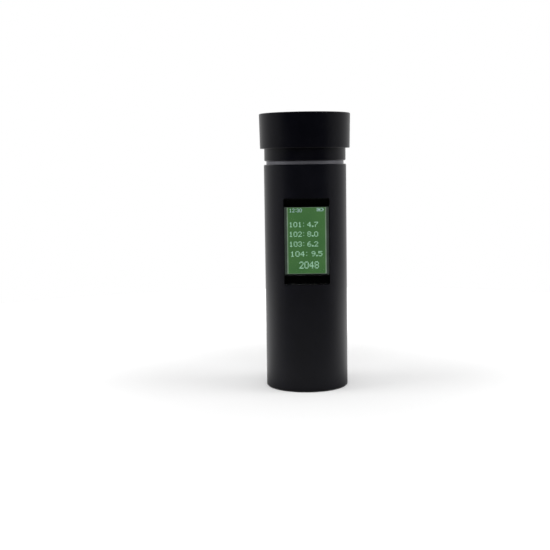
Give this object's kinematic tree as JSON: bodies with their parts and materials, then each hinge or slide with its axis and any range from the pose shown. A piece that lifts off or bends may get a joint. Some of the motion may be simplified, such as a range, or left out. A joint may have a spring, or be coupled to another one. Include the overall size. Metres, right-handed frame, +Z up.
{
  "type": "color spectrophotometer",
  "caption": "Handheld cylindrical color spectrophotometer standing on its measuring end, with a display, a push-to-measure top and a pull-off calibration cap parked on it.",
  "frame": {"origin": "centre of the measuring face that the instrument stands on", "axes": "+Z up along the tube, from the measuring face to the cap; -Y out of the display; +X to the right as seen facing the display"},
  "size_m": [0.0342, 0.0342, 0.1031],
  "materials": {
    "tube_black": "satin black anodised tube",
    "abs_black": "fine textured black ABS",
    "acetal_grey": "turned grey acetal",
    "lens_clear": "polished clear acrylic",
    "glass_clear": "polished flat glass",
    "frame_black": "black polycarbonate",
    "chassis_grey": "grey glass-filled nylon",
    "display_panel": "lit colour display",
    "board_green": "green solder mask",
    "chip_black": "black moulded chip",
    "shield_tin": "tinned steel",
    "screw_steel": "plain stainless steel",
    "pouch_silver": "aluminium laminate pouch",
    "lead_red": "PVC insulation",
    "flex_amber": "polyimide flat cable",
    "rubber_black": "black silicone",
    "tile_white": "glazed white ceramic",
    "tape_black": "black adhesive foam",
    "emitter_white": "white emitter package",
    "connector_ivory": "ivory nylon"
  },
  "bodies": {
    "housing": {"housing_tube": "tube_black", "display_lens": "lens_clear", "lens_tape": "tape_black", "screen_bezel": "frame_black", "bezel_screws": "screw_steel", "display_module": "display_panel", "display_flex": "flex_amber", "flex_connector": "connector_ivory", "inner_chassis": "chassis_grey", "main_board": "board_green", "board_chips": "chip_black", "radio_module": "shield_tin", "usb_c_shell": "shield_tin", "usb_c_tongue": "chip_black", "battery_cell": "pouch_silver", "battery_leads": "lead_red", "battery_connector": "connector_ivory", "board_screws": "screw_steel", "measuring_base": "abs_black", "base_screws": "screw_steel", "aperture_glass": "glass_clear", "glass_gasket": "rubber_black", "light_guide_ring": "lens_clear", "led_board": "board_green", "led_emitters": "emitter_white", "optics_barrel": "frame_black", "barrel_screws": "screw_steel", "collimating_lens": "glass_clear", "lens_retainer": "frame_black", "sensor_board": "board_green", "spectral_sensor": "chip_black", "sensor_screws": "screw_steel", "sensor_flex": "flex_amber", "led_flex": "flex_amber", "switch_cable": "flex_amber", "guide_collar": "acetal_grey", "collar_screws": "screw_steel", "switch_board": "board_green", "switch_body": "chip_black", "button_spring": "screw_steel"},
    "button": {"measure_button": "abs_black", "stem_clip": "screw_steel"},
    "plunger": {"switch_plunger": "connector_ivory"},
    "cap": {"cap_shell": "abs_black", "calibration_tile": "tile_white", "tile_retainer": "frame_black", "cap_grip_ring": "rubber_black"}
  },
  "joints": [
    {"name": "button_press", "type": "slide", "parent": "housing", "child": "button", "axis": [0, 0, -1], "range_m": [0, 0.001], "stiffness_N_per_m": 1000, "springref_m": -0.001, "deforming": ["button_spring"]},
    {"name": "plunger_press", "type": "slide", "parent": "housing", "child": "plunger", "axis": [0, 0, -1], "range_m": [0, 0.001]},
    {"name": "cap_lift", "type": "slide", "parent": "button", "child": "cap", "axis": [0, 0, 1], "range_m": [0, 0.03]}
  ],
  "couplings": [
    {"joint": "plunger_press", "follows": "button_press", "ratio": 1}
  ]
}
